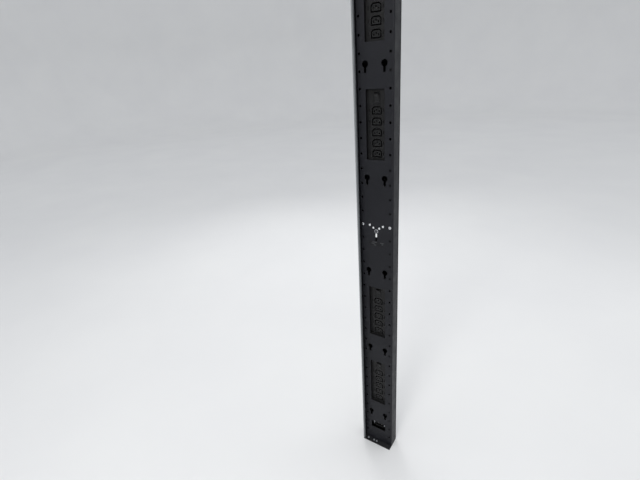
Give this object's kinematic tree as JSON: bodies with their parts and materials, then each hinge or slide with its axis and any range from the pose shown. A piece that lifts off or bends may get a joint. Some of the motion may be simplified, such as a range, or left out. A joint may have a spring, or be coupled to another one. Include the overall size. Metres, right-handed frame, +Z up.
{
  "type": "rack power strip",
  "caption": "Tall black zero-U rack power strip: a perforated folded channel with recessed outlet banks, a breaker rocker above each bank, indicator lamps and a push button.",
  "frame": {"origin": "centre of the rear cover's outer face", "axes": "+Z up along the strip, +Y out of its back towards the rack post, -Y is the side the outlets face, +X to the right seen from the front"},
  "size_m": [0.113, 0.062, 1.844],
  "materials": {
    "black_paint": "satin powder coat",
    "bank_plastic": "fine moulded texture",
    "core_plastic": "satin moulded",
    "rocker_plastic": "semi-gloss moulded",
    "button_plastic": "satin moulded",
    "pipe_plastic": "frosted",
    "lamp_lens": "clear-white lens",
    "zinc": "bright zinc plating",
    "plated_brass": "nickel plated",
    "copper": "bare copper",
    "circuit_green": "solder mask"
  },
  "bodies": {
    "strip": {"chassis": "black_paint", "lip_rail": "black_paint", "rear_cover": "black_paint", "top_foot": "black_paint", "bottom_foot": "black_paint", "bank_1_bezel": "bank_plastic", "bank_1_housing": "bank_plastic", "bank_1_outlet_1": "core_plastic", "bank_1_outlet_2": "core_plastic", "bank_1_outlet_3": "core_plastic", "bank_1_outlet_4": "core_plastic", "bank_1_outlet_5": "core_plastic", "bank_1_breaker": "core_plastic", "bank_2_bezel": "bank_plastic", "bank_2_housing": "bank_plastic", "bank_2_outlet_1": "core_plastic", "bank_2_outlet_2": "core_plastic", "bank_2_outlet_3": "core_plastic", "bank_2_outlet_4": "core_plastic", "bank_2_outlet_5": "core_plastic", "bank_2_breaker": "core_plastic", "bank_3_bezel": "bank_plastic", "bank_3_housing": "bank_plastic", "bank_3_outlet_1": "core_plastic", "bank_3_outlet_2": "core_plastic", "bank_3_outlet_3": "core_plastic", "bank_3_outlet_4": "core_plastic", "bank_3_outlet_5": "core_plastic", "bank_3_breaker": "core_plastic", "bank_4_bezel": "bank_plastic", "bank_4_housing": "bank_plastic", "bank_4_outlet_1": "core_plastic", "bank_4_outlet_2": "core_plastic", "bank_4_outlet_3": "core_plastic", "bank_4_outlet_4": "core_plastic", "bank_4_outlet_5": "core_plastic", "bank_4_breaker": "core_plastic", "lamp_1": "lamp_lens", "lamp_2": "lamp_lens", "lamp_3": "lamp_lens", "lamp_4": "lamp_lens", "fixing_screw_left": "zinc", "fixing_screw_right": "zinc", "button_ring": "zinc", "light_pipe": "pipe_plastic", "control_board": "circuit_green", "inlet_housing": "core_plastic", "network_module": "core_plastic", "inlet_pin_line": "plated_brass", "inlet_pin_neutral": "plated_brass", "inlet_pin_earth": "plated_brass", "line_bar": "copper", "neutral_bar": "copper", "earth_bar": "copper"},
    "rocker_1": {"bank_1_rocker": "rocker_plastic"},
    "rocker_2": {"bank_2_rocker": "rocker_plastic"},
    "rocker_3": {"bank_3_rocker": "rocker_plastic"},
    "rocker_4": {"bank_4_rocker": "rocker_plastic"},
    "button": {"push_button": "button_plastic"}
  },
  "joints": [
    {"name": "breaker_1_rock", "type": "hinge", "parent": "strip", "child": "rocker_1", "pos_m": [0, -0.029, 0.6963], "axis": [1, 0, 0], "range_deg": [-26, 0]},
    {"name": "breaker_2_rock", "type": "hinge", "parent": "strip", "child": "rocker_2", "pos_m": [0, -0.029, 0.38515], "axis": [1, 0, 0], "range_deg": [-26, 0]},
    {"name": "breaker_3_rock", "type": "hinge", "parent": "strip", "child": "rocker_3", "pos_m": [0, -0.029, -0.23715], "axis": [1, 0, 0], "range_deg": [-26, 0]},
    {"name": "breaker_4_rock", "type": "hinge", "parent": "strip", "child": "rocker_4", "pos_m": [0, -0.029, -0.5483], "axis": [1, 0, 0], "range_deg": [-26, 0]},
    {"name": "button_press", "type": "slide", "parent": "strip", "child": "button", "axis": [0, 1, 0], "range_m": [0, 0.002], "stiffness_N_per_m": 300}
  ]
}
